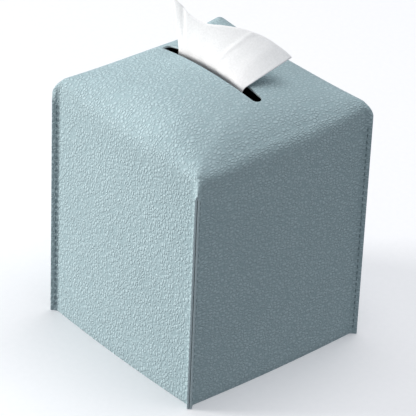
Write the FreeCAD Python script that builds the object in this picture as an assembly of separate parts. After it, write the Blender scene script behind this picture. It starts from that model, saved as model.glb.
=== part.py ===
import FreeCAD, Part
import math
import os

# Soft tissue box cover, sewn from one cross-shaped leather blank over stiffened walls.
# The origin is the middle of the hem, +Z is up and the slot in the top runs along X.
# Looking along +Y, the front wall is at -Y and the right wall at +X.

# Driving dimensions of the cover, in millimetres
wall_width = 120.0  # between opposite walls, measured at the corner seams
corner_height = 150.0  # from the hem to the corners of the top
crown_rise = 14.0  # middle of the top above its corners
edge_sag = 3.0  # middle of a top edge below its corners
wall_bulge = 1.5  # middle of a wall outside the line between its corners
fold_radius = 6.0  # where the top turns down into a wall
slot_length = 82.0
slot_width = 6.0

# Layers of a wall, from the outside in
leather = 1.2
board = 1.0
lining = 0.6
lining_rise = 0.5  # the lining stops this far above the hem
board_rise = 4.0  # a board stops this far above the hem
board_setback = 14.0  # a board stops this far before a corner seam
board_margin = 2.0  # a board stops this far below the fold

# Corner fins, where two walls are sewn with their raw edges outwards
fin_length = 4.0
fin_drop = 7.0  # top of a fin below the corners of the top
stitch_inset = 3.4  # stitches inside a fin's raw edge
stitch_margin = 4.0  # first and last stitch inside the ends of a seam

# Thread and stitches
thread = 0.7
thread_sink = 0.2  # a seam's thread presses this far into the leather
stitch_pitch = 5.0
stitch_gap = 0.15  # between one stitch and the next

# Belt across the open bottom
belt_width = 30.0
belt_lift = 1.5  # underside of the strap above the hem
belt_gap = 0.3  # between a sewn end and the strip that swings from it
belt_overlap = 30.0
belt_end_radius = 6.0
tab_length = 58.0  # from the tab's hinge line to its free end
sewn_end_top = 26.0  # top of a belt strip's sewn end above the hem
patch_size = 25.0
patch_thickness = 1.0
patch_gap = 0.3  # between the hook patch and the loop patch
patch_stitch_inset = 2.0
sewn_end_stitch_inset = 4.0

# Tissue sheet drawn up through the slot
tissue_thickness = 0.6
tissue_tail = 24.0  # below the middle of the top
tissue_lift = 1.0  # the sheet bends this far above the top's surface
tissue_left = -28.0  # sides of the sheet along the slot
tissue_right = 26.0
tissue_fold_clearance = 0.4  # between a fold and the slot's lip
tissue_lean = 66.0  # how far the right side leans back, in degrees from upright
tissue_swing = 17.0  # how far that lean turns towards +X, in degrees
tissue_fan = 0.18  # how far the left side slants out, per unit of height
tissue_rises = [31.0, 19.0, 18.0, 21.0, 25.0, 29.0, 33.0]  # sheet above the slot, fold by fold

# Sizes worked out from the driving dimensions
half_width = wall_width / 2
crown_reach = half_width + wall_bulge  # from the middle to the middle of a wall
wall = leather + board + lining
corner_reach = half_width * math.sqrt(2)  # from the middle to a wall corner
fin_reach = corner_reach + fin_length  # from the middle to a fin's raw edge
fin_top = corner_height - fin_drop
fin_thickness = 2 * (leather + lining)
strip = leather + lining  # thickness of a belt strip
strap_middle = belt_lift + strip / 2  # height of the strap's middle plane
hook_bottom = belt_lift + strip
loop_bottom = hook_bottom + patch_thickness + patch_gap
tab_middle = loop_bottom + patch_thickness + strip / 2


def at(x, y, z):
    return FreeCAD.Vector(x, y, z)


def turned(shape, degrees):
    """Copy of a shape turned about the upright axis."""
    copy = shape.copy()
    copy.rotate(at(0, 0, 0), at(0, 0, 1), degrees)
    return copy


def moved(shape, x, y, z):
    copy = shape.copy()
    copy.translate(at(x, y, z))
    return copy


def crown_levels(drop):
    """Levels that shape the crowned top, lowered by drop: its corners, edges and middle."""
    corner = corner_height - drop
    edge = corner - 2 * edge_sag
    middle = corner + 4 * (crown_rise + edge_sag)
    return [[corner, edge, corner], [edge, middle, edge], [corner, edge, corner]]


def top_height(x, y):
    """Height of the crowned top above the hem at one place."""
    weights = []
    for distance in (x, y):
        share = (distance / crown_reach + 1) / 2
        weights.append([(1 - share) ** 2, 2 * share * (1 - share), share**2])
    height = 0.0
    for weight_x, row in zip(weights[0], crown_levels(0)):
        for weight_y, level in zip(weights[1], row):
            height += weight_x * weight_y * level
    return height


def crowned_block(drop):
    """Everything under the crowned top, with that top lowered by drop."""
    surface = Part.BezierSurface()
    surface.increase(2, 2)
    for column, row_levels in enumerate(crown_levels(drop)):
        for row, level in enumerate(row_levels):
            place = at((column - 1) * crown_reach, (row - 1) * crown_reach, level)
            surface.setPole(column + 1, row + 1, place)
    return surface.toShape().extrude(at(0, 0, -2 * corner_height))


def wall_prism(inset, bottom, height):
    """Upright prism inside the four bowed walls, moved in by inset."""
    half = half_width - inset
    middle = at(0, -half - wall_bulge, bottom)
    front = Part.Arc(at(-half, -half, bottom), middle, at(half, -half, bottom)).toShape()
    outline = Part.Wire([turned(front, 90 * number) for number in range(4)])
    return Part.Face(outline).extrude(at(0, 0, height))


def cover_block(side_inset, top_inset, bottom):
    """Solid block of the cover's outside, moved in from its sides and its top."""
    block = wall_prism(side_inset, bottom, 2 * corner_height).common(crowned_block(top_inset))
    top_edges = [edge for edge in block.Edges if edge.BoundBox.ZMin > corner_height / 2]
    return block.makeFillet(fold_radius - top_inset, top_edges)


def fin_plate(thickness, top):
    """Upright plate along +X, from inside a corner out to the fin's raw edge, rounded at its top."""
    inner = corner_reach - 2 * wall
    round_end = fin_reach - fin_length
    shoulder = top - fin_length
    diagonal = fin_length * math.sqrt(0.5)
    start = -thickness / 2
    arc = Part.Arc(
        at(fin_reach, start, shoulder),
        at(round_end + diagonal, start, shoulder + diagonal),
        at(round_end, start, top),
    )
    edges = [
        Part.makeLine(at(inner, start, 0), at(fin_reach, start, 0)),
        Part.makeLine(at(fin_reach, start, 0), at(fin_reach, start, shoulder)),
        arc.toShape(),
        Part.makeLine(at(round_end, start, top), at(inner, start, top)),
        Part.makeLine(at(inner, start, top), at(inner, start, 0)),
    ]
    return Part.Face(Part.Wire(edges)).extrude(at(0, thickness, 0))


def at_corners(shape):
    """Copies of a shape made along +X, turned to the four corners."""
    return [turned(shape, 45 + 90 * corner) for corner in range(4)]


def slot_cutter():
    """Upright prism with round ends that cuts the slot."""
    radius = slot_width / 2
    straight = slot_length / 2 - radius
    bottom = corner_height / 2
    end = at(slot_length / 2, 0, bottom)
    arc = Part.Arc(at(straight, -radius, bottom), end, at(straight, radius, bottom)).toShape()
    line = Part.makeLine(at(straight, radius, bottom), at(-straight, radius, bottom))
    outline = Part.Wire([arc, line, turned(arc, 180), turned(line, 180)])
    return Part.Face(outline).extrude(at(0, 0, corner_height))


def stitch(thickness, sink, run):
    """Lock stitch along +X through a stack from z = 0 to thickness, with a run of thread on each face."""
    low = sink - thread / 2
    high = thickness - sink + thread / 2
    leg = Part.makeCylinder(thread / 2, high - low, at(0, 0, low), at(0, 0, 1))
    runs = [Part.makeCylinder(thread / 2, run, at(0, 0, level), at(1, 0, 0)) for level in (low, high)]
    return leg.fuse(runs)


def stitch_row(length, thickness, sink):
    """Stitches along +X that fill a length, each a solid of its own."""
    count = max(1, int(length / stitch_pitch))
    step = length / count
    one = stitch(thickness, sink, step - thread - stitch_gap)
    return [moved(one, number * step, 0, 0) for number in range(count)]


def seam_stitches():
    """Stitches of one corner seam, on a fin along +X."""
    rows = stitch_row(fin_top - 2 * stitch_margin, fin_thickness, thread_sink)
    stitches = []
    for one in rows:
        # The row is stood up, so that it climbs the fin and its legs cross the fin's thickness
        one.rotate(at(0, 0, 0), at(0, 1, 0), -90)
        one.rotate(at(0, 0, 0), at(0, 0, 1), 90)
        stitches.append(moved(one, fin_reach - stitch_inset, fin_thickness / 2, stitch_margin))
    return stitches


def inner_wall(across):
    """Distance from the middle to a wall's inner face, at a place across that wall."""
    half = half_width - wall
    radius = (half**2 + wall_bulge**2) / (2 * wall_bulge)
    return half + wall_bulge - radius + math.sqrt(radius**2 - across**2)


def hinge_reach():
    """Distance from the middle to the line where a belt strip swings."""
    return inner_wall(belt_width / 2) - leather - belt_gap - strip / 2


def wall_boards():
    """Four boards, each bowed with its wall: front, right, back and left."""
    height = corner_height - edge_sag - fold_radius - board_margin - board_rise
    outside = wall_prism(leather, board_rise, height)
    inside = wall_prism(leather + board, board_rise, height)
    length = 2 * (half_width - board_setback)
    front_region = Part.makeBox(length, half_width, height, at(-length / 2, -crown_reach, board_rise))
    front = outside.cut(inside).common(front_region)
    return [turned(front, 90 * number) for number in range(4)]


def leather_shell(stitches):
    """Outer leather: the folded blank with the outer layers of the four fins and the slot."""
    outside = cover_block(0, 0, 0)
    fins = at_corners(fin_plate(fin_thickness, fin_top))
    inside = cover_block(leather, leather, -wall)
    lining_gaps = at_corners(fin_plate(2 * lining, fin_top - leather))
    shell = outside.fuse(fins).cut([inside, slot_cutter()] + lining_gaps)
    return shell.cut(stitches)


def lining_shell(boards, stitches):
    """Lining: lies on the leather, covers the boards and runs out between the fins' leather layers."""
    outside = cover_block(leather, leather, lining_rise)
    inside = cover_block(wall, leather + lining, -wall)
    flanges = at_corners(fin_plate(2 * lining, fin_top - leather))
    hem = Part.makeBox(2 * wall_width, 2 * wall_width, lining_rise, at(-wall_width, -wall_width, 0))
    return outside.fuse(flanges).cut([inside, slot_cutter(), hem] + boards + stitches)


def belt_strip(length):
    """Both layers of a belt strip along +Y from its hinge line, as leather below and backing above."""
    body = Part.makeBox(belt_width, length, strip, at(-belt_width / 2, 0, -strip / 2))
    ends = []
    for edge in body.Edges:
        upright = edge.BoundBox.ZLength > strip / 2
        if upright and edge.BoundBox.YMin > length / 2:
            ends.append(edge)
    body = body.makeFillet(belt_end_radius, ends)
    knuckle = Part.makeCylinder(strip / 2, belt_width, at(-belt_width / 2, 0, 0), at(1, 0, 0))
    body = body.fuse(knuckle).removeSplitter()
    split = leather - strip / 2
    below = Part.makeBox(2 * belt_width, 4 * length, strip, at(-belt_width, -2 * length, split - strip))
    return body.common(below), body.cut(below)


def sewn_end(bottom):
    """Flat end of a belt strip that stands against the front wall's lining."""
    seat = inner_wall(belt_width / 2)
    return Part.makeBox(belt_width, leather, sewn_end_top - bottom, at(-belt_width / 2, -seat, bottom))


def sewn_end_stitches(bottom):
    """Two level rows through a sewn end and the lining behind it, on the front wall."""
    length = belt_width - 2 * sewn_end_stitch_inset
    behind = -inner_wall(belt_width / 2) - lining
    stitches = []
    for level in (bottom + 2 * sewn_end_stitch_inset, sewn_end_top - sewn_end_stitch_inset):
        for one in stitch_row(length, leather + lining, thread):
            one.rotate(at(0, 0, 0), at(1, 0, 0), -90)
            stitches.append(moved(one, -length / 2, behind, level))
    return stitches


def patch(bottom, middle):
    """Square hook or loop patch, centred across the belt."""
    corner = at(-patch_size / 2, middle - patch_size / 2, bottom)
    return Part.makeBox(patch_size, patch_size, patch_thickness, corner)


def patch_stitches(bottom, middle):
    """Four rows round a patch, through the patch and the strip that carries it."""
    length = patch_size - 2 * patch_stitch_inset
    stitches = []
    for side in range(4):
        for one in stitch_row(length, patch_thickness + strip, thread):
            one = turned(moved(one, -length / 2, -length / 2, bottom), 90 * side)
            stitches.append(moved(one, 0, middle, 0))
    return stitches


def tissue_section(share, rise, side):
    """Closed outline of the sheet at one fold: a tail down through the slot and a leaning part above it."""
    x = tissue_left + share * (tissue_right - tissue_left)
    y = side * (slot_width / 2 - tissue_fold_clearance - tissue_thickness / 2)
    lean = math.radians(tissue_lean * share)
    swing = math.radians(tissue_swing * share)
    slant = tissue_fan * (share - 1)
    half = tissue_thickness / 2
    bend = top_height(x, y) + tissue_lift
    tail = corner_height + crown_rise - tissue_tail
    mitre = half * math.tan(lean / 2)
    tip_out = rise * math.sin(lean)
    tip_up = bend + rise * math.cos(lean)
    profile = [
        (-half, tail),
        (half, tail),
        (half, bend - mitre),
        (tip_out + half * math.cos(lean), tip_up - half * math.sin(lean)),
        (tip_out - half * math.cos(lean), tip_up + half * math.sin(lean)),
        (-half, bend + mitre),
    ]
    points = []
    for out, height in profile:
        along = x + out * math.sin(swing) + slant * (height - bend)
        points.append(at(along, y + out * math.cos(swing), height))
    return Part.makePolygon(points + points[:1])


def tissue_sheet():
    """Fanned sheet with a fold at every section, to alternate sides of the slot."""
    sections = []
    last = len(tissue_rises) - 1
    for number, rise in enumerate(tissue_rises):
        side = 1 if number % 2 else -1
        sections.append(tissue_section(number / last, rise, side))
    return Part.makeLoft(sections, True, True)


def belt_nodes():
    """All pieces of the belt except its sewn ends, by node name."""
    reach = hinge_reach()
    strap_length = 2 * reach - tab_length + belt_overlap
    overlap_middle = reach - tab_length + belt_overlap / 2
    strap_layers = [moved(layer, 0, -reach, strap_middle) for layer in belt_strip(strap_length)]
    tab_layers = [moved(turned(layer, 180), 0, reach, tab_middle) for layer in belt_strip(tab_length)]
    hook_stitches = patch_stitches(belt_lift, overlap_middle)
    loop_stitches = patch_stitches(loop_bottom, overlap_middle)
    return {
        "belt_strap": strap_layers[0].cut(hook_stitches),
        "belt_strap_backing": strap_layers[1].cut(hook_stitches),
        "hook_patch": patch(hook_bottom, overlap_middle).cut(hook_stitches),
        "hook_patch_stitching": Part.makeCompound(hook_stitches),
        "belt_tab": tab_layers[0].cut(loop_stitches),
        "belt_tab_backing": tab_layers[1].cut(loop_stitches),
        "loop_patch": patch(loop_bottom, overlap_middle).cut(loop_stitches),
        "loop_patch_stitching": Part.makeCompound(loop_stitches),
    }


def cover_nodes():
    """The sewn cover and the belt's sewn ends, by node name."""
    strap_stitches = sewn_end_stitches(strap_middle)
    tab_stitches = [turned(one, 180) for one in sewn_end_stitches(tab_middle)]
    seams = [at_corners(one) for one in seam_stitches()]
    every_seam_stitch = [one for stitches in seams for one in stitches]
    boards = wall_boards()
    nodes = {
        "leather_shell": leather_shell(every_seam_stitch),
        "lining": lining_shell(boards, every_seam_stitch + strap_stitches + tab_stitches),
        "strap_sewn_end": sewn_end(strap_middle).cut(strap_stitches),
        "strap_sewn_end_stitching": Part.makeCompound(strap_stitches),
        "tab_sewn_end": turned(sewn_end(tab_middle), 180).cut(tab_stitches),
        "tab_sewn_end_stitching": Part.makeCompound(tab_stitches),
    }
    for name, shape in zip(("front", "right", "back", "left"), boards):
        nodes[name + "_wall_board"] = shape
    for number, name in enumerate(("back_right", "back_left", "front_left", "front_right")):
        nodes[name + "_seam_thread"] = Part.makeCompound([stitches[number] for stitches in seams])
    return nodes


os.makedirs("parts", exist_ok=True)
nodes = cover_nodes()
nodes.update(belt_nodes())
nodes["tissue_sheet"] = tissue_sheet()
for name, shape in nodes.items():
    shape.exportStep("parts/" + name + ".step")
    print(name, "solids", len(shape.Solids), "valid", shape.isValid(), "volume", round(shape.Volume, 1))
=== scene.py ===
# %% [markdown]
# # A soft leather cover for a tissue box
# The cover is cut from one cross-shaped piece of leather, folded into a box and sewn at its four corners.
# This lesson makes it in the same order: cut the flat blank, fold it, give it thickness, sew it, add the
# belt underneath and pull up a tissue. Sizes are in millimetres until a piece is finished.

# %% Load the frame
import math
import bmesh
import bpy
from mathutils import Matrix, Vector


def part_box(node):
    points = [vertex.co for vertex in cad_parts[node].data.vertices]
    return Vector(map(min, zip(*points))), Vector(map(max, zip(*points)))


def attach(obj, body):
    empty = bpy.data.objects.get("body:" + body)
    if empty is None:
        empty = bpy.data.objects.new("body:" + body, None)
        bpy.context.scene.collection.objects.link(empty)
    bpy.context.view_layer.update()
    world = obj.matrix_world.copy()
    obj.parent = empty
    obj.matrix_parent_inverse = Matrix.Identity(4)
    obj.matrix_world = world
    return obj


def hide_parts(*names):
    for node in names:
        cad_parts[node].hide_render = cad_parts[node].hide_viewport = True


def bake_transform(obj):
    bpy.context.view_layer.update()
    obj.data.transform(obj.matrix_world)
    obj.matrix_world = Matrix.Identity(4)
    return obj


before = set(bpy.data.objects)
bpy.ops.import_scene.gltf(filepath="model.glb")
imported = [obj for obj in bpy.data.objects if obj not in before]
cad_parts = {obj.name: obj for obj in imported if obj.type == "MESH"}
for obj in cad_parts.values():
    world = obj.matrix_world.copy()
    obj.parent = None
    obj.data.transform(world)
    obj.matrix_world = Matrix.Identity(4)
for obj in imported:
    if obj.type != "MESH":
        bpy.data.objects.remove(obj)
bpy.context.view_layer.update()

# %% [markdown]
# ## Helpers for materials
# A shader works with linear light, while a paint chart gives sRGB colours, so one function turns the one
# into the other. One adds a node with its settings, and fills or links its sockets. Patterns of fibres
# come back in cloth, board and paper, so they share a function too.

# %% Colours, nodes and fibres
METRES = 0.001
SMOOTH = {"interpolation_type": "SMOOTHSTEP"}
COLOURS = {"data_type": "RGBA"}


def linear(paint):
    """An sRGB hex colour as the linear colour that a shader takes."""
    parts = [int(paint[start:start + 2], 16) / 255 for start in (1, 3, 5)]
    light = [part / 12.92 if part <= 0.04045 else ((part + 0.055) / 1.055) ** 2.4 for part in parts]
    return (*light, 1.0)


def fill(tree, node, sockets):
    """Sets a node's input sockets to values, or links them to other nodes."""
    for name, value in sockets.items():
        if isinstance(value, bpy.types.NodeSocket):
            tree.links.new(value, node.inputs[name])
        else:
            node.inputs[name].default_value = value


def add(tree, kind, settings, sockets):
    """Adds a node, sets its properties, and fills or links its input sockets."""
    made = tree.nodes.new(kind)
    for name, value in settings.items():
        setattr(made, name, value)
    fill(tree, made, sockets)
    return made


def new_material(name):
    """An empty material with a Principled shader, ready for its pattern."""
    material = bpy.data.materials.new(name)
    material.use_nodes = True
    return material, material.node_tree, material.node_tree.nodes["Principled BSDF"]


def fibres(tree, size, detail, tangle, spread):
    """Fibres of a size, as a factor from 0 to 1. A small spread makes them stand out."""
    place = add(tree, "ShaderNodeTexCoord", {}, {}).outputs["Object"]
    noise = {"Vector": place, "Scale": 1.0 / size, "Detail": detail, "Distortion": tangle}
    cloudy = add(tree, "ShaderNodeTexNoise", {}, noise).outputs[0]
    ends = {"Value": cloudy, "From Min": 0.5 - spread, "From Max": 0.5 + spread}
    return add(tree, "ShaderNodeMapRange", SMOOTH, ends).outputs[0]


print("a mid grey paint has the linear value", round(linear("#808080")[0], 3))

# %% [markdown]
# ## Helpers for pieces
# A piece is shaped as a bmesh in millimetres. It is then closed into an object that sits at the origin, in
# metres. Sheets of leather, lining and paper get their thickness from a Solidify modifier, and a small Bevel
# takes the sharpness off cut edges, as handling does. Places that a piece shares with the solid model are
# read from the model's boxes.

# %% Finish a piece
SHARP_EDGE = math.radians(60)


def close_piece(mesh, name, materials):
    """Turns a bmesh in millimetres into a smooth object at the origin, in metres."""
    bmesh.ops.scale(mesh, vec=(METRES, METRES, METRES), verts=mesh.verts)
    data = bpy.data.meshes.new(name)
    mesh.to_mesh(data)
    mesh.free()
    data.shade_smooth()
    for material in materials:
        data.materials.append(material)
    piece = bpy.data.objects.new(name, data)
    bpy.context.scene.collection.objects.link(piece)
    print(name, "has", len(data.polygons), "faces")
    return piece


def thicken(piece, thickness, offset, softness):
    """Gives a sheet its thickness. Its last material shows on the cut edges, which can be softened."""
    layer = piece.modifiers.new("thickness", "SOLIDIFY")
    layer.thickness = thickness * METRES
    layer.offset = offset
    layer.material_offset_rim = len(piece.data.materials) - 1
    if softness > 0:
        softened = piece.modifiers.new("soft_cut_edges", "BEVEL")
        softened.width = softness * METRES
        softened.segments = 2
        softened.limit_method = "ANGLE"
        softened.angle_limit = SHARP_EDGE


def solid_corners(node):
    """Lowest and highest corner of a piece of the solid model, in millimetres to three decimals."""
    return [Vector([round(part / METRES, 3) for part in corner]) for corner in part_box(node)]


print("the solid cover is", round(solid_corners("leather_shell")[1].z, 1), "mm high")

# %% [markdown]
# ## Camera
# The photograph looks down at the front corner from far away, so the walls hardly converge. A long lens
# at one and a half metres gives that. The small roll tilts the picture as the photograph is tilted.

# %% Camera at the photograph's angle
CAMERA_DISTANCE = 1.5
CAMERA_AIM = Vector((0.0, 0.0, 0.075))
FILM_WIDTH = 36.0
FOCAL_LENGTH = 233.7

turn = math.radians(48.67)
rise = math.radians(31.19)
roll = math.radians(2.42)
back = Vector((math.sin(turn) * math.cos(rise), -math.cos(turn) * math.cos(rise), math.sin(rise)))
level = Vector((math.cos(turn), math.sin(turn), 0.0))
upright = back.cross(level)
right = math.cos(roll) * level + math.sin(roll) * upright
upward = math.cos(roll) * upright - math.sin(roll) * level

lens = bpy.data.cameras.new("camera")
lens.sensor_width = FILM_WIDTH
lens.lens = FOCAL_LENGTH
camera = bpy.data.objects.new("camera", lens)
camera.matrix_world = Matrix((right, upward, back)).transposed().to_4x4()
camera.location = back * CAMERA_DISTANCE + CAMERA_AIM
bpy.context.scene.collection.objects.link(camera)
bpy.context.scene.camera = camera
print("camera at", [round(part, 3) for part in camera.location])

# %% [markdown]
# ## Studio
# A large soft light from the left, a little above the floor, leaves the right wall in shade and puts a
# highlight along the fold between the top and the left wall. A larger one overhead lights the top and the
# tissue, and a dim white world fills the shadows.

# %% Soft light
LIGHT_AIM = Vector((0.0, 0.0, 0.08))
LIGHT_DISTANCE = 3.0
WORLD_STRENGTH = 0.35

bpy.context.scene.view_settings.view_transform = "Standard"
world = bpy.data.worlds.new("studio")
world.use_nodes = True
sky = {"Color": linear("#f4f7ff"), "Strength": WORLD_STRENGTH}
fill(world.node_tree, world.node_tree.nodes["Background"], sky)
bpy.context.scene.world = world


def soft_light(name, direction, size, power, paint):
    """A square light that shines on the middle of the cover from one direction."""
    data = bpy.data.lights.new(name, "AREA")
    data.size = size
    data.energy = power
    data.color = linear(paint)[:3]
    light = bpy.data.objects.new(name, data)
    towards = Vector(direction).normalized()
    light.location = LIGHT_AIM + towards * LIGHT_DISTANCE
    light.rotation_euler = towards.to_track_quat("Z", "Y").to_euler()
    bpy.context.scene.collection.objects.link(light)
    print(name, "light at", [round(part, 2) for part in light.location])


soft_light("key", (-0.7, -0.68, 0.16), 1.0, 112.0, "#fffdfa")
soft_light("overhead", (0.05, 0.15, 1.0), 2.4, 64.0, "#ffffff")

# %% [markdown]
# ## Floor
# A pale matt floor takes the cover's shadow. It is hidden from diffuse rays, so that it throws no light back
# up at the walls and the shaded wall stays as dark as it is in the photograph.

# %% Pale floor
FLOOR_HALF = 3000.0
SPECKLE = 10.0 / 3.0 * METRES


def matt_floor(name, light, dark):
    """Matt white board: nearly even, with a speckle that is hardly seen."""
    material, tree, shader = new_material(name)
    place = add(tree, "ShaderNodeTexCoord", {}, {}).outputs["Object"]
    speckle = add(tree, "ShaderNodeTexNoise", {}, {"Vector": place, "Scale": 1.0 / SPECKLE}).outputs[0]
    mixed = {0: speckle, 6: linear(dark), 7: linear(light)}
    colour = add(tree, "ShaderNodeMix", COLOURS, mixed).outputs[2]
    fill(tree, shader, {"Base Color": colour, "Roughness": 0.6})
    return material


mesh = bmesh.new()
bmesh.ops.create_grid(mesh, x_segments=4, y_segments=4, size=FLOOR_HALF)
floor = close_piece(mesh, "floor", [matt_floor("matt_white_floor", "#f8f8fa", "#f3f4f6")])
floor.visible_diffuse = False

# %% [markdown]
# ## Pebbled leather
# The cover is imitation leather: cloth with a soft plastic skin that a hot roller presses into pebbles
# just under 2 mm wide. The eye sees small domes, darker creases between them and a satin sheen. A cell
# pattern gives the pebbles. It reads the flat blank's own map, so that the grain runs over the folds
# unbroken. Most of the grain is bump, not colour, so it fades where the light comes from straight above.
# The shade in the creases between the pebbles is painted into the colour as a darker tone.

# %% Leather skin
PEBBLE = 1.7 * METRES
PEBBLE_STRETCH = 1.35
PEBBLE_SWAY = 0.7 * PEBBLE
PEBBLE_DEPTH = 0.36 * METRES
WRINKLE = 0.5 * METRES
WRINKLE_SHARE = 0.12
CLOUD = 40.0 * METRES
BLANK_MAP = "flat_blank"


def leather_skin(name, light, dark, crease):
    """Pebbled imitation leather with a satin finish, with shade painted into the creases between its pebbles.
    """
    material, tree, shader = new_material(name)
    flat = add(tree, "ShaderNodeUVMap", {"uv_map": BLANK_MAP}, {}).outputs[0]
    stretch = {0: flat, 1: (1.0, 1.0 / PEBBLE_STRETCH, 1.0)}
    stretched = add(tree, "ShaderNodeVectorMath", {"operation": "MULTIPLY"}, stretch).outputs[0]
    drifting = {"Vector": flat, "Scale": 0.5 / PEBBLE, "Detail": 1.0}
    drift = add(tree, "ShaderNodeTexNoise", {}, drifting).outputs["Color"]
    sway = {0: drift, 1: (PEBBLE_SWAY, PEBBLE_SWAY, 0.0), 2: stretched}
    swayed = add(tree, "ShaderNodeVectorMath", {"operation": "MULTIPLY_ADD"}, sway).outputs[0]
    cells = {"Vector": swayed, "Scale": 1.0 / PEBBLE, "Randomness": 0.7}
    edge = add(tree, "ShaderNodeTexVoronoi", {"feature": "DISTANCE_TO_EDGE"}, cells).outputs["Distance"]

    rounding = {"Value": edge, "From Min": 0.0, "From Max": 0.3}
    dome = add(tree, "ShaderNodeMapRange", SMOOTH, rounding).outputs[0]
    wrinkling = {"Vector": flat, "Scale": 1.0 / WRINKLE, "Detail": 2.0}
    wrinkles = add(tree, "ShaderNodeTexNoise", {}, wrinkling).outputs[0]
    layers = {0: wrinkles, 1: WRINKLE_SHARE, 2: dome}
    height = add(tree, "ShaderNodeMath", {"operation": "MULTIPLY_ADD"}, layers).outputs[0]
    relief = {"Height": height, "Distance": PEBBLE_DEPTH, "Strength": 1.0}
    bump = add(tree, "ShaderNodeBump", {}, relief).outputs[0]

    clouding = {"Vector": flat, "Scale": 1.0 / CLOUD, "Detail": 3.0}
    cloudy = add(tree, "ShaderNodeTexNoise", {}, clouding).outputs[0]
    blotches = {"Value": cloudy, "From Min": 0.3, "From Max": 0.7}
    blotch = add(tree, "ShaderNodeMapRange", SMOOTH, blotches).outputs[0]
    dyes = {0: blotch, 6: linear(light), 7: linear(dark)}
    skin = add(tree, "ShaderNodeMix", COLOURS, dyes).outputs[2]
    # Painted shade: the creases between the pebbles take a darker colour, standing in for the shade that
    # falls there.
    crease_shading = {"Value": edge, "From Min": 0.0, "From Max": 0.16}
    shade = add(tree, "ShaderNodeMapRange", SMOOTH, crease_shading).outputs[0]
    shaded = {0: shade, 6: linear(crease), 7: skin}
    colour = add(tree, "ShaderNodeMix", COLOURS, shaded).outputs[2]
    polish = {"Value": dome, "To Min": 0.7, "To Max": 0.55}
    gloss = add(tree, "ShaderNodeMapRange", {}, polish).outputs[0]
    look = {"Base Color": colour, "Roughness": gloss, "Normal": bump, "Specular IOR Level": 0.3}
    fill(tree, shader, look)
    return material


# The last colour is the painted shade in the creases between the pebbles.
pebbled_leather = leather_skin("pebbled_imitation_leather", "#aec3c8", "#aabfc4", "#97adb2")
print("pebbles are", PEBBLE / METRES, "mm wide")

# %% [markdown]
# ## Cut edges
# Where the leather is cut, its cloth core shows: a matt edge, a little paler than the skin, with fibres
# across it.

# %% Cut edge of the leather
FIBRE = 0.4 * METRES


def cut_edge(name, light, dark):
    """Fibrous core of imitation leather, seen at a cut: matt, with light and dark strands."""
    material, tree, shader = new_material(name)
    strand = fibres(tree, FIBRE, 3.0, 0.0, 0.15)
    colour = add(tree, "ShaderNodeMix", COLOURS, {0: strand, 6: linear(light), 7: linear(dark)}).outputs[2]
    relief = {"Height": strand, "Distance": 0.1 * METRES, "Strength": 0.6}
    bump = add(tree, "ShaderNodeBump", {}, relief).outputs[0]
    fill(tree, shader, {"Base Color": colour, "Normal": bump, "Roughness": 0.85})
    return material


leather_edge = cut_edge("cut_leather_edge", "#c6d7db", "#a4b7bc")
print("cut edges show fibres", FIBRE / METRES, "mm wide")

# %% [markdown]
# ## The flat blank
# On the cutting table the leather is a cross: a square top with four arms that become the walls. A grid
# with its four corner squares deleted is that cross. Its columns are closer together near the seams,
# where the leather bends most.

# %% Cut the cross
HALF = 60.0
TOP_STEPS = 36
WALL_STEPS = 52
WALL_LENGTH = 150.0
EVEN_ACROSS = 0.62
EVEN_DOWN = 0.45


def table_place(step):
    """Distance of a grid line from the middle of the blank."""
    share = min(1.0, abs(step) / TOP_STEPS)
    inside = HALF * (EVEN_ACROSS * share + (1 - EVEN_ACROSS) * math.sin(share * math.pi / 2))
    down = max(0.0, abs(step) - TOP_STEPS) / WALL_STEPS
    beyond = WALL_LENGTH * (EVEN_DOWN * down + (1 - EVEN_DOWN) * down ** 2)
    return math.copysign(inside + beyond, step)


blank = bmesh.new()
reach = TOP_STEPS + WALL_STEPS
bmesh.ops.create_grid(blank, x_segments=2 * reach, y_segments=2 * reach, size=reach)
outside = []
for face in blank.faces:
    middle = face.calc_center_median()
    if min(abs(middle.x), abs(middle.y)) > TOP_STEPS:
        outside.append(face)
bmesh.ops.delete(blank, geom=outside, context="FACES")
print("the cross has", len(blank.faces), "faces")

# %% [markdown]
# ## The slot
# The tissue comes out of a slot 78 mm long and 6 mm wide with round ends. Its front lip gapes by 2 mm more
# in the middle, so that the shaded foot of the tissue shows. A rectangle of faces is deleted and its border
# is extruded inwards in rings, each nearer to the slot's outline, so that the lip is smooth.

# %% Cut the slot
SLOT_LEFT = -41.0
SLOT_RIGHT = 37.0
SLOT_HALF_WIDTH = 3.0
SLOT_GAPE = 2.0
SLOT_RINGS = (0.45, 0.75, 0.92, 1.0)
HOLE_STEPS = (24, 3)

hole = []
for face in blank.faces:
    middle = face.calc_center_median()
    if abs(middle.x) < HOLE_STEPS[0] and abs(middle.y) < HOLE_STEPS[1]:
        hole.append(face)
bmesh.ops.delete(blank, geom=hole, context="FACES")
for vert in blank.verts:
    vert.co = Vector((table_place(round(vert.co.x)), table_place(round(vert.co.y)), 0.0))


def on_slot(point):
    """The place on the slot's outline for a point outside it."""
    first, last = SLOT_LEFT + SLOT_HALF_WIDTH, SLOT_RIGHT - SLOT_HALF_WIDTH
    core = Vector((max(first, min(last, point.x)), 0.0, 0.0))
    place = core + (point - core).normalized() * SLOT_HALF_WIDTH
    middle = 1 - ((2 * core.x - first - last) / (last - first)) ** 2
    if place.y < 0:
        place.y *= 1 + SLOT_GAPE / SLOT_HALF_WIDTH * middle
    return place


def place_key(place):
    """A place as a key that finds the same point again."""
    return tuple(round(part, 4) for part in place)


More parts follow.
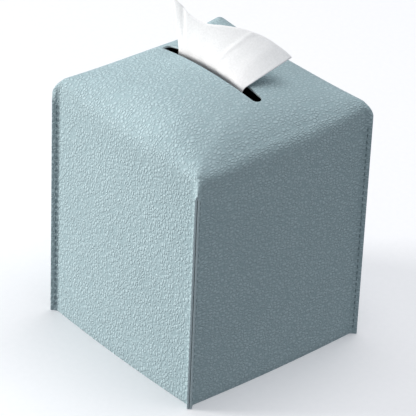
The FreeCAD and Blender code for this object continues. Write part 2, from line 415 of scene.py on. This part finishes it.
border = [edge for edge in blank.edges if edge.is_boundary and edge.verts[0].co.length < HALF]
starts = {}
for share in SLOT_RINGS:
    grown = bmesh.ops.extrude_edge_only(blank, edges=border)["geom"]
    border = [part for part in grown if isinstance(part, bmesh.types.BMEdge) and part.is_boundary]
    for vert in [part for part in grown if isinstance(part, bmesh.types.BMVert)]:
        start = vert.co.copy()
        origin = starts.pop(place_key(start), start)
        vert.co = origin.lerp(on_slot(origin), share)
        starts[place_key(vert.co)] = origin
bmesh.ops.recalc_face_normals(blank, faces=blank.faces)
flat_map = blank.loops.layers.uv.new(BLANK_MAP)
for face in blank.faces:
    for loop in face.loops:
        loop[flat_map].uv = loop.vert.co.xy * METRES
print("slot lip has", len(border), "edges")

# %% [markdown]
# ## Soft folds
# The arms fold down over soft edges, and the walls bow out a little. The top is crowned: high in the middle,
# with edges that rise a little between the corners. A fold draws the leather in from the sharp edge that two
# flat faces would meet at. Simple formulas say how far.

# %% Crown and folds
CORNER_HEIGHT = 150.0
CROWN = 14.0
EDGE_RISE = 2.5
BULGE = 1.5
CROWN_REACH = HALF + BULGE
FOLD_CORNER = 4.5
FOLD_DOWN = 14.0
FOLD_ACROSS = 24.0


def eased(value):
    """0 below 0, 1 above 1, and smooth between."""
    share = max(0.0, min(1.0, value))
    return share * share * (3 - 2 * share)


def top_height(x, y):
    """Height of the crowned top above the hem."""
    across = 1 - (x / CROWN_REACH) ** 2
    along = 1 - (y / CROWN_REACH) ** 2
    return CORNER_HEIGHT + EDGE_RISE * (across + along) + (CROWN - 2 * EDGE_RISE) * across * along


def bowed(across):
    """Distance from the middle to a wall, at a place across it."""
    return HALF + BULGE * (1 - (across / HALF) ** 2)


def drawn_in(distance, reach, depth):
    """How far a soft fold of some reach and depth draws a point in, at a distance from its edge."""
    return depth * max(0.0, 1 - distance / reach) ** 2


def rounded(distance, reach):
    """How far a fold with the same reach on both sides draws a point in. Its depth is a quarter of that."""
    return drawn_in(distance, reach, reach / 4)


def fold_shape(across):
    """Reach of a fold down the wall, its reach over the top, and its depth. It is tight at the corners."""
    middle = 1 - (across / HALF) ** 2
    down = FOLD_CORNER + (FOLD_DOWN - FOLD_CORNER) * middle
    over = FOLD_CORNER + (FOLD_ACROSS - FOLD_CORNER) * middle
    # At this depth the wall runs into the top without a crease.
    return down, over, 0.5 / (1 / down + 1 / over)


print("the crown is", top_height(0.0, 0.0), "mm high")

# %% [markdown]
# ## Seam fins
# Each pair of arms is sewn with the raw edges outwards, which makes a thin fin at the corner. A wall turns
# out by 45 degrees in a small arc and runs on straight to the raw edge. Near the top the two raw edges close
# into one ridge, which sinks into the corner.

# %% Fin at a corner
FLARE_RADIUS = 1.6
FIN_LENGTH = 2.7
FIN_HALF = 1.35
FIN_SPREAD = 4.0
FIN_TIP = HALF * math.sqrt(2) + FIN_LENGTH
RIDGE_DEPTH = 2.5


def fin_lengths():
    """Where a wall starts to turn out, and the lengths of its turn and of the straight fin after it."""
    turn_end = FLARE_RADIUS * math.sin(math.radians(45))
    turn_out = FLARE_RADIUS - turn_end
    start = HALF + turn_out - FIN_HALF * math.sqrt(2) - turn_end
    arc = FLARE_RADIUS * math.radians(45)
    straight = FIN_TIP - (start + turn_end + HALF + turn_out) / math.sqrt(2)
    return start, arc, straight


def fin_travel(across):
    """Travel along the leather for a line of the blank. The last lines spread out over the fin."""
    start, arc, straight = fin_lengths()
    free = start - FIN_SPREAD
    if across < free:
        return across
    return free + (across - free) * (FIN_SPREAD + arc + straight) / (HALF - free)


def fin_place(travel):
    """Place across a wall, distance out and angle, after a travel from the wall's middle to its fin."""
    start, arc, straight = fin_lengths()
    angle = min(max(0.0, travel - start), arc) / FLARE_RADIUS
    rest = max(0.0, travel - start - arc) * math.sqrt(0.5)
    along = min(travel, start) + FLARE_RADIUS * math.sin(angle) + rest
    out = bowed(min(travel, HALF)) + FLARE_RADIUS * (1 - math.cos(angle)) + rest
    return along, out, angle


def closed_ridge(along, out, ridge):
    """Closes the two layers of a fin into one rounded ridge, by a share from 0 to 1."""
    diagonal = (along + out) / math.sqrt(2)
    apart = (out - along) / math.sqrt(2)
    share = max(0.0, min(1.0, 1 - (FIN_TIP - diagonal) / RIDGE_DEPTH))
    apart *= 1 - ridge + ridge * math.sqrt(1 - share ** 2)
    return (diagonal - apart) / math.sqrt(2), (diagonal + apart) / math.sqrt(2)


print("a fin turns out", round(fin_lengths()[0], 2), "mm from the middle of the wall")

# %% [markdown]
# ## Fold and sew
# Now each point of the blank is moved to where it comes to lie on the sewn cover. Last of all the soft
# leather settles: the top corner at the back stands out a little, and the one at the front sags.

# %% Fold the blank
CORNER_SOFTNESS = 3.0
FIN_FULL = 141.0
FIN_END = 150.0
RAW_EDGE_TOP = 136.5
RIDGE_BOTTOM = 140.0
SETTLE_REACH = 45.0
SETTLED_CORNERS = (
    (Vector((-HALF, HALF, CORNER_HEIGHT)), Vector((-4.5, 0.0, 1.5))),
    (Vector((HALF, -HALF, CORNER_HEIGHT)), Vector((-1.0, 1.0, -6.5))),
)
SEAM_MERGE = 0.02


def wall_place(across, down):
    """Place across a wall, distance out and height of a point on an arm."""
    side = abs(across)
    edge_height = top_height(across, CROWN_REACH)
    drop = down / WALL_LENGTH * edge_height
    height = edge_height - drop
    seam = HALF - side
    fin = 1 - eased((height - FIN_FULL) / (FIN_END - FIN_FULL))
    ridge = eased((height - RAW_EDGE_TOP) / (RIDGE_BOTTOM - RAW_EDGE_TOP))
    fin_along, fin_out, angle = fin_place(fin_travel(side))
    fin_along, fin_out = closed_ridge(fin_along, fin_out, ridge)
    corner = rounded(seam, CORNER_SOFTNESS)
    along = (side - corner) * (1 - fin) + fin_along * fin
    out = (bowed(side) - corner) * (1 - fin) + fin_out * fin
    down_reach, depth = fold_shape(side)[::2]
    fold = drawn_in(drop, down_reach, depth)
    next_fold = rounded(math.hypot(seam, drop), FOLD_CORNER)
    return math.copysign(along - next_fold, across), out - fold, height - fold - next_fold


def top_place(x, y):
    """Place of a point on the top."""
    gap_x, gap_y = HALF - abs(x), HALF - abs(y)
    fold_x = drawn_in(gap_x, *fold_shape(y)[1:])
    fold_y = drawn_in(gap_y, *fold_shape(x)[1:])
    corner = rounded(math.hypot(gap_x, gap_y), CORNER_SOFTNESS)
    wide = abs(x) * bowed(y) / HALF
    deep = abs(y) * bowed(x) / HALF
    moved_x = math.copysign(wide - fold_x - corner, x)
    moved_y = math.copysign(deep - fold_y - corner, y)
    return Vector((moved_x, moved_y, top_height(wide, deep) - fold_x - fold_y))


def sewn_place(flat):
    """Where a point of the flat blank lies on the sewn cover."""
    if abs(flat.y) > HALF:
        along, out, height = wall_place(flat.x, abs(flat.y) - HALF)
        return Vector((along, math.copysign(out, flat.y), height))
    if abs(flat.x) > HALF:
        along, out, height = wall_place(flat.y, abs(flat.x) - HALF)
        return Vector((math.copysign(out, flat.x), along, height))
    return top_place(flat.x, flat.y)


def settled(place):
    """Where a place lies once the soft corners at the back and the front have settled."""
    moved = place.copy()
    for corner, move in SETTLED_CORNERS:
        moved += move * eased(1 - (place - corner).length / SETTLE_REACH)
    return moved


for vert in blank.verts:
    vert.co = settled(sewn_place(vert.co))
bmesh.ops.remove_doubles(blank, verts=blank.verts, dist=SEAM_MERGE)
print("folded height", round(max(vert.co.z for vert in blank.verts), 1), "mm")

# %% [markdown]
# ## Leather cover
# The folded sheet gets its 1.2 mm inwards, so that the outside stays where it is. A copy of it is kept for
# the lining.

# %% Leather cover
LEATHER = 1.2
EDGE_SOFTNESS = 0.35

lining_sheet = blank.copy()
cover = close_piece(blank, "leather_cover", [pebbled_leather, leather_edge])
thicken(cover, LEATHER, -1.0, EDGE_SOFTNESS)
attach(cover, "cover")
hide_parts("leather_shell")

# %% [markdown]
# ## Lining
# A black felted lining covers the inside and the boards. It starts as a copy of the folded blank, moved in
# by the leather and, where a board lies behind it, by the board. At the seams it stops short of the raw
# edges, and at the hem it ends just above the leather.

# %% Lining fabric
FELT = 0.8 * METRES


def lining_fabric(name, light, dark):
    """Black non-woven lining: short fibres pressed flat, with no sheen."""
    material, tree, shader = new_material(name)
    strand = fibres(tree, FELT, 4.0, 1.5, 0.15)
    colour = add(tree, "ShaderNodeMix", COLOURS, {0: strand, 6: linear(dark), 7: linear(light)}).outputs[2]
    relief = {"Height": strand, "Distance": 0.1 * METRES, "Strength": 0.7}
    bump = add(tree, "ShaderNodeBump", {}, relief).outputs[0]
    fill(tree, shader, {"Base Color": colour, "Normal": bump, "Roughness": 0.95, "Specular IOR Level": 0.2})
    return material


black_lining = lining_fabric("black_nonwoven_lining", "#1c1b1a", "#0b0a0a")
print("lining fibres are", FELT / METRES, "mm long")

# %% Line the cover
LINING = 0.6
LINING_RETURN = 6.0
LINING_SHORT = 0.45
LINING_HIDDEN = 0.3
LINING_FADE = 3.0
HEM_GAP = 0.5
BOARD = 1.0
BOARD_RISE = 4.0
BOARD_SETBACK = 14.0
BOARD_TOP = 139.0
WALL_BAND = 6.0


def behind_board(place):
    """1 where a wall board lies behind the lining, fading to 0 round it."""
    across = min(abs(place.x), abs(place.y))
    out = max(abs(place.x), abs(place.y))
    if out < HALF - WALL_BAND:
        return 0.0
    sides = eased((HALF - BOARD_SETBACK + LINING_FADE - across) / LINING_FADE)
    low_end = eased((place.z - BOARD_RISE + LINING_FADE) / LINING_FADE)
    high_end = eased((BOARD_TOP + LINING_FADE - place.z) / LINING_FADE)
    return sides * low_end * high_end


for vert in lining_sheet.verts:
    depth = LEATHER + BOARD * behind_board(vert.co)
    hem = HEM_GAP * eased(1 - vert.co.z / LINING_FADE)
    vert.co = vert.co - vert.normal * depth + Vector((0.0, 0.0, hem))
    corner = (abs(vert.co.x) + abs(vert.co.y)) / math.sqrt(2)
    start = HALF * math.sqrt(2) - LINING_RETURN
    if corner > start:
        # The lining goes only some of the way into a fin, and less where the raw edges are closed.
        hidden = eased((vert.co.z - RAW_EDGE_TOP) / LINING_FADE)
        kept = LINING_SHORT + (LINING_HIDDEN - LINING_SHORT) * hidden
        drawn = (start + (corner - start) * kept) / corner
        vert.co.x *= drawn
        vert.co.y *= drawn
lining = close_piece(lining_sheet, "fabric_lining", [black_lining])
thicken(lining, LINING, -1.0, 0.0)
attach(lining, "cover")
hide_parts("lining")

# %% [markdown]
# ## Stitches
# A lock stitch shows as short runs of thread, each drawn down into its needle holes. A stretched ball has
# that shape: full in the middle and sinking into the leather at both ends. One function lays every stitch
# on the cover, along its run and pressed into the surface that it holds.

# %% Thread
STRAND = 0.35 * METRES


def sewing_thread(name, light, dark):
    """Twisted polyester thread: a soft sheen, with shade painted as darker lines where the strands meet."""
    material, tree, shader = new_material(name)
    place = add(tree, "ShaderNodeTexCoord", {}, {}).outputs["Object"]
    twist = {"Vector": place, "Scale": 1.0 / STRAND, "Distortion": 1.0}
    strands = add(tree, "ShaderNodeTexWave", {"bands_direction": "DIAGONAL"}, twist).outputs["Fac"]
    # Painted shade: the lines where the strands meet are coloured darker.
    colour = add(tree, "ShaderNodeMix", COLOURS, {0: strands, 6: linear(dark), 7: linear(light)}).outputs[2]
    relief = {"Height": strands, "Distance": 0.08 * METRES, "Strength": 0.7}
    bump = add(tree, "ShaderNodeBump", {}, relief).outputs[0]
    fill(tree, shader, {"Base Color": colour, "Normal": bump, "Roughness": 0.55, "Sheen Weight": 0.2})
    return material


blue_thread = sewing_thread("twisted_polyester_thread", "#7f969c", "#51686e")
print("thread strands are", STRAND / METRES, "mm apart")

# %% Corner seams
THREAD = 0.7
STITCH_PITCH = 4.0
STITCH_RUN = 2.6
STITCH_INSET = 2.4
STITCH_START = 5.0
STITCH_STOP = 4.0
STITCH_SIDES = 8
UPRIGHT = Vector((0.0, 0.0, 1.0))


def lay_stitch(mesh, place, run, outward):
    """One stitch along a run, sunk half into the surface that faces outward."""
    turned = Matrix((outward.cross(run), outward, run)).transposed().to_4x4()
    stretched = Matrix.Diagonal((1.0, 1.0, STITCH_RUN / THREAD, 1.0))
    seated = Matrix.Translation(place) @ turned @ stretched
    sides = {"u_segments": STITCH_SIDES, "v_segments": STITCH_SIDES}
    bmesh.ops.create_uvsphere(mesh, radius=THREAD / 2, matrix=seated, **sides)


def sewn(mesh, name, node, body):
    """Finishes a piece of stitching that stands for a node of the solid model."""
    piece = close_piece(mesh, name, [blue_thread])
    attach(piece, body)
    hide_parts(node)


def seam_stitches(side_x, side_y):
    """Both faces of one corner seam."""
    mesh = bmesh.new()
    along, out, angle = fin_place(sum(fin_lengths()) - STITCH_INSET)
    lean_along, lean_out = -math.sin(angle), math.cos(angle)
    faces = ((along, out, lean_along, lean_out), (out, along, lean_out, lean_along))
    for number in range(int((RAW_EDGE_TOP - STITCH_STOP) / STITCH_PITCH)):
        height = STITCH_START + STITCH_PITCH * number
        for x, y, lean_x, lean_y in faces:
            place = Vector((side_x * x, side_y * y, height))
            outward = Vector((side_x * lean_x, side_y * lean_y, 0.0))
            lay_stitch(mesh, settled(place), UPRIGHT, outward)
    return mesh


for name, side_x, side_y in (
    ("front_left", -1, -1),
    ("front_right", 1, -1),
    ("back_left", -1, 1),
    ("back_right", 1, 1),
):
    sewn(seam_stitches(side_x, side_y), name + "_seam_stitches", name + "_seam_thread", "cover")

# %% [markdown]
# ## Wall boards
# A grey board stiffens each wall. It is hidden between leather and lining, and the solid model's boards
# have the right shape, so they only get the look of pressed paper fibre.

# %% Grey board
FLECK = 1.2 * METRES


def grey_board(name, light, dark):
    """Pressed grey board: matt, with flecks of paper fibre."""
    material, tree, shader = new_material(name)
    fleck = fibres(tree, FLECK, 5.0, 0.0, 0.1)
    colour = add(tree, "ShaderNodeMix", COLOURS, {0: fleck, 6: linear(light), 7: linear(dark)}).outputs[2]
    relief = {"Height": fleck, "Distance": 0.05 * METRES, "Strength": 0.5}
    bump = add(tree, "ShaderNodeBump", {}, relief).outputs[0]
    fill(tree, shader, {"Base Color": colour, "Normal": bump, "Roughness": 0.9})
    return material


pressed_board = grey_board("pressed_grey_board", "#a39c8f", "#8b8478")
for side in ("front", "right", "back", "left"):
    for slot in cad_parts[side + "_wall_board"].material_slots:
        slot.material = pressed_board
    print(side, "wall board is pressed grey board")

# %% [markdown]
# ## Belt
# A strap and a tab close the open bottom, so that the box stays in when the cover is lifted. Each is a
# leather strip that is sewn flat to the lining, bends at the foot of the wall and runs across the opening.
# A flat grid is cut to the strip's outline and then bent along its path. The solid model gives the places.

# %% Path of a strip
BELT_ROUND = 6.0
BELT_BEND = 3.0
STRIP_ROW = 1.5
STRIP_COLUMNS = 20

sewn_low, sewn_high = solid_corners("strap_sewn_end")
BELT_HALF = sewn_high.x
BELT_TOP = sewn_high.z
BELT_WALL = -(sewn_low.y + sewn_high.y) / 2


def strip_width(before_end):
    """Half the width of a strip, which is rounded at its free end."""
    corner = max(0.0, min(BELT_ROUND, BELT_ROUND - before_end))
    return BELT_HALF - BELT_ROUND + math.sqrt(BELT_ROUND ** 2 - corner ** 2)


def strip_place(travel, level):
    """Distance out from the middle, and height, of a strip that comes down the wall and turns in."""
    down = BELT_TOP - level - BELT_BEND
    turn = max(0.0, min(BELT_BEND * math.pi / 2, travel - down)) / BELT_BEND
    run = max(0.0, travel - down - BELT_BEND * math.pi / 2)
    out = BELT_WALL - BELT_BEND * (1 - math.cos(turn)) - run
    height = BELT_TOP - min(travel, down) - BELT_BEND * math.sin(turn)
    return out, height


def strip_sheet(start, end, level, wall):
    """One layer of a strip from start to end along its path, on the front wall (-1) or the back wall (1)."""
    mesh = bmesh.new()
    rows = int((end - start) / STRIP_ROW)
    bmesh.ops.create_grid(mesh, x_segments=STRIP_COLUMNS, y_segments=rows, size=0.5)
    flat = mesh.loops.layers.uv.new(BLANK_MAP)
    for vert in mesh.verts:
        travel = start + (end - start) * (vert.co.y + 0.5)
        vert.co = Vector((2 * vert.co.x * strip_width(end - travel), travel, 0.0))
    for face in mesh.faces:
        for loop in face.loops:
            loop[flat].uv = loop.vert.co.xy * METRES
    for vert in mesh.verts:
        out, height = strip_place(vert.co.y, level)
        vert.co = Vector((vert.co.x, wall * out, height))
    return mesh


print("the belt comes down the wall", round(BELT_WALL, 2), "mm from the middle")

# %% [markdown]
# ## Strap and tab
# Each strip is one piece of leather, left where it lies and not attached to a body. Its cloth backing starts
# after the bend and moves with the strip alone.

# %% Belt strips
STRIP_LEATHER = 1.2
STRIP_BACKING = 0.6
STRIP_SOFTNESS = 0.2
BACKING_START = 1.0


def belt_strip(name, body, nodes, wall):
    """Leather and backing of the strap or the tab. Its nodes are the sewn end, the strip and the backing."""
    low, high = solid_corners(nodes[1])
    level = (low.z + high.z) / 2
    reach = min(wall * low.y, wall * high.y)
    bend_end = BELT_TOP - level - BELT_BEND + BELT_BEND * math.pi / 2
    end = bend_end + BELT_WALL - BELT_BEND - reach
    leather = close_piece(strip_sheet(0.0, end, level, wall), name, [pebbled_leather, leather_edge])
    thicken(leather, STRIP_LEATHER, 0.0, STRIP_SOFTNESS * STRIP_LEATHER)
    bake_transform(leather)
    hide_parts(*nodes[:2])
    above = level + (STRIP_LEATHER + STRIP_BACKING) / 2
    shift = level - above
    sheet = strip_sheet(bend_end + shift + BACKING_START, end + shift, above, wall)
    backing = close_piece(sheet, name + "_backing_cloth", [black_lining])
    thicken(backing, STRIP_BACKING, 0.0, STRIP_SOFTNESS * STRIP_BACKING)
    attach(backing, body)
    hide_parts(nodes[2])


belt_strip("strap_leather", "strap", ("strap_sewn_end", "belt_strap", "belt_strap_backing"), -1)
belt_strip("tab_leather", "tab", ("tab_sewn_end", "belt_tab", "belt_tab_backing"), 1)

# %% [markdown]
# ## Hook and loop
# The strap carries a square of hook tape and the tab a square of loop tape. Hook tape is a woven band
# with rows of stiff nylon hooks. Loop tape is the same band with a nap of soft loops. Each hook and loop is
# a bent wire, spun from a small square and repeated in rows. They are drawn coarser than real ones, which
# would be too fine to see.

# %% Nylon tape
HOOKS = {"spacing": 1.4, "radius": 0.4, "wire": 0.1, "sweep": math.radians(215)}
LOOPS = {"spacing": 1.1, "radius": 0.45, "wire": 0.06, "sweep": math.radians(180)}


def nylon_tape(name, light, dark, spacing):
    """Woven nylon band: dark, with fine ribs and a faint sheen."""
    material, tree, shader = new_material(name)
    place = add(tree, "ShaderNodeTexCoord", {}, {}).outputs["Object"]
    weave = {"Vector": place, "Scale": 0.3 / (spacing * METRES), "Distortion": 0.6}
    ribs = add(tree, "ShaderNodeTexWave", {"bands_direction": "X"}, weave).outputs["Fac"]
    colour = add(tree, "ShaderNodeMix", COLOURS, {0: ribs, 6: linear(dark), 7: linear(light)}).outputs[2]
    relief = {"Height": ribs, "Distance": 0.1 * METRES, "Strength": 0.6}
    bump = add(tree, "ShaderNodeBump", {}, relief).outputs[0]
    fill(tree, shader, {"Base Color": colour, "Normal": bump, "Roughness": 0.5, "Sheen Weight": 0.3})
    return material


hook_nylon = nylon_tape("woven_hook_tape", "#3a3b3d", "#17181a", HOOKS["spacing"])
loop_nylon = nylon_tape("brushed_loop_tape", "#34353a", "#1b1c20", LOOPS["spacing"])
print("hooks are", HOOKS["spacing"], "mm apart, loops", LOOPS["spacing"], "mm")

# %% Hook tape and loop tape
PATCH_BASE = 0.45
PATCH_SOFTNESS = 0.15
BARE_MARGIN = 7.0
WIRE_STEPS = 7
WIRE_SCATTER = 0.35
ROW_SHIFT = 12.9
COLUMN_SHIFT = 78.2

patch_low, patch_high = solid_corners("hook_patch")
PATCH_HALF = patch_high.x
PATCH_MIDDLE = (patch_low.y + patch_high.y) / 2
HOOK_FOOT = patch_low.z
LOOP_FOOT = solid_corners("loop_patch")[1].z


def bent_wire(mesh, place, facing, up, shape):
    """A small arch of wire that stands on a place, turned by an angle about the upright."""
    turned = Matrix.Translation(place) @ Matrix.Rotation(facing, 4, "Z")
    start = Matrix.Translation((shape["radius"], 0.0, 0.0)) @ Matrix.Rotation(math.radians(90), 4, "X")
    circle = {"cap_ends": False, "segments": 4, "radius": shape["wire"], "matrix": turned @ start}
    ring = bmesh.ops.create_circle(mesh, **circle)["verts"]
    edges = {edge for vert in ring for edge in vert.link_edges}
    axis = turned.to_3x3() @ Vector((0.0, -up, 0.0))
    sweep = {"cent": place, "axis": axis, "angle": shape["sweep"], "steps": WIRE_STEPS}
    bmesh.ops.spin(mesh, geom=list(ring) + list(edges), **sweep)


def wire_facing(row, column):
    """The way a wire faces. Rows face in turn, and each wire is a little off, always by the same angle."""
    scatter = WIRE_SCATTER * math.sin(ROW_SHIFT * row + COLUMN_SHIFT * column)
    return scatter + (math.pi if row % 2 else 0.0)


def tape_patch(name, node, body, foot, up, material, shape):
    """A square of tape on its strip, with its hooks or loops on the side that up names."""
    mesh = bmesh.new()
    size = Matrix.Diagonal((2 * PATCH_HALF, 2 * PATCH_HALF, PATCH_BASE, 1.0))
    seat = Matrix.Translation((0.0, PATCH_MIDDLE, foot + up * PATCH_BASE / 2))
    bmesh.ops.create_cube(mesh, size=1.0, matrix=seat @ size)
    softened = {"offset": PATCH_SOFTNESS, "segments": 2, "affect": "EDGES", "profile": 0.5, "material": -1}
    bmesh.ops.bevel(mesh, geom=list(mesh.edges), **softened)
    count = int((2 * PATCH_HALF - BARE_MARGIN) / shape["spacing"])
    for row in range(count + 1):
        for column in range(count + 1):
            x = (column - count / 2) * shape["spacing"]
            y = PATCH_MIDDLE + (row - count / 2) * shape["spacing"]
            place = Vector((x, y, foot + up * PATCH_BASE))
            bent_wire(mesh, place, wire_facing(row, column), up, shape)
    bmesh.ops.recalc_face_normals(mesh, faces=mesh.faces)
    patch = close_piece(mesh, name, [material])
    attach(patch, body)
    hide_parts(node)


tape_patch("hook_tape_square", "hook_patch", "strap", HOOK_FOOT, 1, hook_nylon, HOOKS)
tape_patch("loop_tape_square", "loop_patch", "tab", LOOP_FOOT, -1, loop_nylon, LOOPS)

# %% [markdown]
# ## Belt stitching
# Two rows hold each strip to the lining, and a square of stitches holds each tape patch. The patch rows
# show on both sides, because the needle goes right through the strip.

# %% Sew the belt
SEWN_INSET = 4.0
LOWER_ROW = 8.0
PATCH_INSET = 2.0
PATCH_CORNERS = ((-1, -1), (1, -1), (1, 1), (-1, 1))


def stitch_line(mesh, start, end, outward):
    """A row of stitches from start to end."""
    run = (end - start).normalized()
    count = max(1, round((end - start).length / STITCH_PITCH))
    for number in range(count):
        lay_stitch(mesh, start.lerp(end, (number + 0.5) / count), run, outward)


def sewn_end_stitches(name, strip, wall):
    """Two level rows across the sewn end of a strip, on the side that faces the box."""
    mesh = bmesh.new()
    face = wall * (BELT_WALL - STRIP_LEATHER / 2)
    for height in (solid_corners(strip)[0].z + LOWER_ROW, BELT_TOP - SEWN_INSET):
        start = Vector((-BELT_HALF + SEWN_INSET, face, height))
        end = Vector((BELT_HALF - SEWN_INSET, face, height))
        stitch_line(mesh, start, end, Vector((0.0, -wall, 0.0)))
    sewn(mesh, name, strip + "_stitching", "cover")


def patch_stitches(name, node, body, low, high):
    """A square of stitches round a patch, on the lower and upper face of the layers."""
    mesh = bmesh.new()
    reach = PATCH_HALF - PATCH_INSET
    corners = [Vector((x * reach, PATCH_MIDDLE + y * reach, 0.0)) for x, y in PATCH_CORNERS]
    for height, facing in ((low, -1.0), (high, 1.0)):
        level = Vector((0.0, 0.0, height))
        for number, corner in enumerate(corners):
            next_corner = corners[(number + 1) % len(corners)]
            stitch_line(mesh, corner + level, next_corner + level, UPRIGHT * facing)
    sewn(mesh, name, node, body)


strap_bottom = solid_corners("belt_strap")[0].z
tab_top = solid_corners("belt_tab")[1].z + STRIP_BACKING
sewn_end_stitches("strap_end_stitches", "strap_sewn_end", -1)
sewn_end_stitches("tab_end_stitches", "tab_sewn_end", 1)
patch_stitches("hook_tape_stitches", "hook_patch_stitching", "strap", strap_bottom, HOOK_FOOT + PATCH_BASE)
patch_stitches("loop_tape_stitches", "loop_patch_stitching", "tab", LOOP_FOOT - PATCH_BASE, tab_top)

# %% [markdown]
# ## Tissue paper
# The tissue is two plies of soft paper. It is thin and lets some light through, so its shader scatters light
# below the surface over a fraction of a millimetre.

# %% Tissue paper
CREPE = 1.0 * METRES
GLOW_DEPTH = 0.5 * METRES


def tissue_paper(name, light, dark):
    """Two plies of soft white tissue: matt, faintly crinkled, and slightly see-through."""
    material, tree, shader = new_material(name)
    crepe = fibres(tree, CREPE, 3.0, 0.0, 0.2)
    colour = add(tree, "ShaderNodeMix", COLOURS, {0: crepe, 6: linear(light), 7: linear(dark)}).outputs[2]
    relief = {"Height": crepe, "Distance": 0.05 * METRES, "Strength": 0.4}
    bump = add(tree, "ShaderNodeBump", {}, relief).outputs[0]
    fill(tree, shader, {"Base Color": colour, "Normal": bump, "Roughness": 0.9, "Specular IOR Level": 0.2})
    scatter = {"Subsurface Weight": 0.6, "Subsurface Radius": (1.0, 1.0, 1.0), "Subsurface Scale": GLOW_DEPTH}
    fill(tree, shader, scatter)
    return material


white_tissue = tissue_paper("soft_white_tissue", "#f0f0f0", "#e9e9e9")
print("crepe is", CREPE / METRES, "mm wide")

# %% [markdown]
# ## Shape of the tissue
# One sheet is drawn up through the slot. It is gathered in soft folds inside the slot and fans out above
# it: upright on the left, leaning back on the right. A share from 0 to 1 runs along the slot from left to
# right, and the length of sheet that stands above the slot changes along it.

# %% Lengths of the sheet
TISSUE_LEFT = -31.6
TISSUE_RIGHT = 25.6
TISSUE_TAIL = 140.0
BEND_DEPTH = 3.0
RISES = (28.7, 22.0, 20.7, 24.3, 28.8, 32.5, 34.6)


def rise_at(share):
    """Length of sheet above the slot, smooth between the places where it is given."""
    place = share * (len(RISES) - 1)
    first = min(int(place), len(RISES) - 2)
    part = place - first
    around = [RISES[max(0, min(len(RISES) - 1, first + step))] for step in (-1, 0, 1, 2)]
    ahead = (around[2] - around[0]) / 2
    beyond = (around[3] - around[1]) / 2
    bend = 3 * (around[2] - around[1]) - 2 * ahead - beyond
    twist = 2 * (around[1] - around[2]) + ahead + beyond
    return around[1] + part * (ahead + part * (bend + part * twist))


def slot_place(share):
    """Place along the slot, at a share of the sheet's width."""
    return TISSUE_LEFT + share * (TISSUE_RIGHT - TISSUE_LEFT)


def bend_height(share):
    """Height at which the sheet starts to lean, at a share of its width."""
    return top_height(slot_place(share), 0.0) - BEND_DEPTH * share


def cut_length(share):
    """Length of the flat sheet, from its tail in the slot to its free edge."""
    return bend_height(share) - TISSUE_TAIL + rise_at(share)


print("the flat sheet is", round(cut_length(0.0), 1), "mm long on the left")

# %% [markdown]
# ## Draw up the tissue
# A grid is cut as the flat sheet and each point is then drawn up: straight in the slot, round a bend, and
# on along a straight lean. Three narrow folds run from the slot to the free edge.

# %% Place of a point on the sheet
TISSUE_BEND = 5.0
TISSUE_LEAN = 65.3
LEAN_GROWTH = 1.15
LEAST_LEAN = 0.001
TISSUE_SWING = 13.5
TISSUE_FAN = 0.2
LEFT_DEPTH = 1.5
RIGHT_DEPTH = -2.0
GATHERS = 5
GATHER_DEPTH = 0.12


def crease(share, middle, width):
    """A narrow fold that stands up at one place along the slot."""
    return math.exp(-(((share - middle) / width) ** 2))


def creases(share, freed):
    """The three folds that run up the sheet, at a share of its free height."""
    upright_fold = 0.4 * crease(share, 0.09, 0.025)
    long_fold = 0.3 * crease(share, 0.54 + 0.17 * freed, 0.022)
    side_fold = 0.3 * crease(share, 0.8 + 0.08 * freed, 0.05)
    return upright_fold - long_fold - side_fold


def drawn_up(share, climb):
    """Place of the sheet, at a share of its width and a share of its height."""
    x = slot_place(share)
    bend_start = bend_height(share)
    tail = bend_start - TISSUE_TAIL
    rise = rise_at(share)
    length = climb * (tail + rise) - tail
    freed = max(0.0, length) / rise
    gather = GATHER_DEPTH * math.cos(2 * math.pi * GATHERS * share) * (1 - eased(freed))
    y = LEFT_DEPTH + (RIGHT_DEPTH - LEFT_DEPTH) * share + gather
    if length < 0:
        return Vector((x, y, bend_start + length))
    lean = math.radians(TISSUE_LEAN) * share ** LEAN_GROWTH + LEAST_LEAN
    swing = math.radians(TISSUE_SWING * share)
    bent = min(length, TISSUE_BEND)
    straight = length - bent
    angle = lean * bent / TISSUE_BEND
    out = TISSUE_BEND / lean * (1 - math.cos(angle)) + straight * math.sin(angle)
    up = TISSUE_BEND / lean * math.sin(angle) + straight * math.cos(angle)
    out += creases(share, freed) * eased(2 * freed)
    along = x + out * math.sin(swing) + TISSUE_FAN * (share - 1) * up
    return Vector((along, y + out * math.cos(swing), bend_start + up))


print("the right end leans back", TISSUE_LEAN, "degrees")

# %% Tissue
TISSUE_COLUMNS = 110
TISSUE_ROWS = 48
TISSUE_THICKNESS = 0.15

mesh = bmesh.new()
bmesh.ops.create_grid(mesh, x_segments=TISSUE_COLUMNS, y_segments=TISSUE_ROWS, size=0.5)
for vert in mesh.verts:
    vert.co = drawn_up(vert.co.x + 0.5, vert.co.y + 0.5)
tissue = close_piece(mesh, "tissue", [white_tissue])
thicken(tissue, TISSUE_THICKNESS, 0.0, 0.0)
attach(tissue, "tissue")
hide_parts("tissue_sheet")
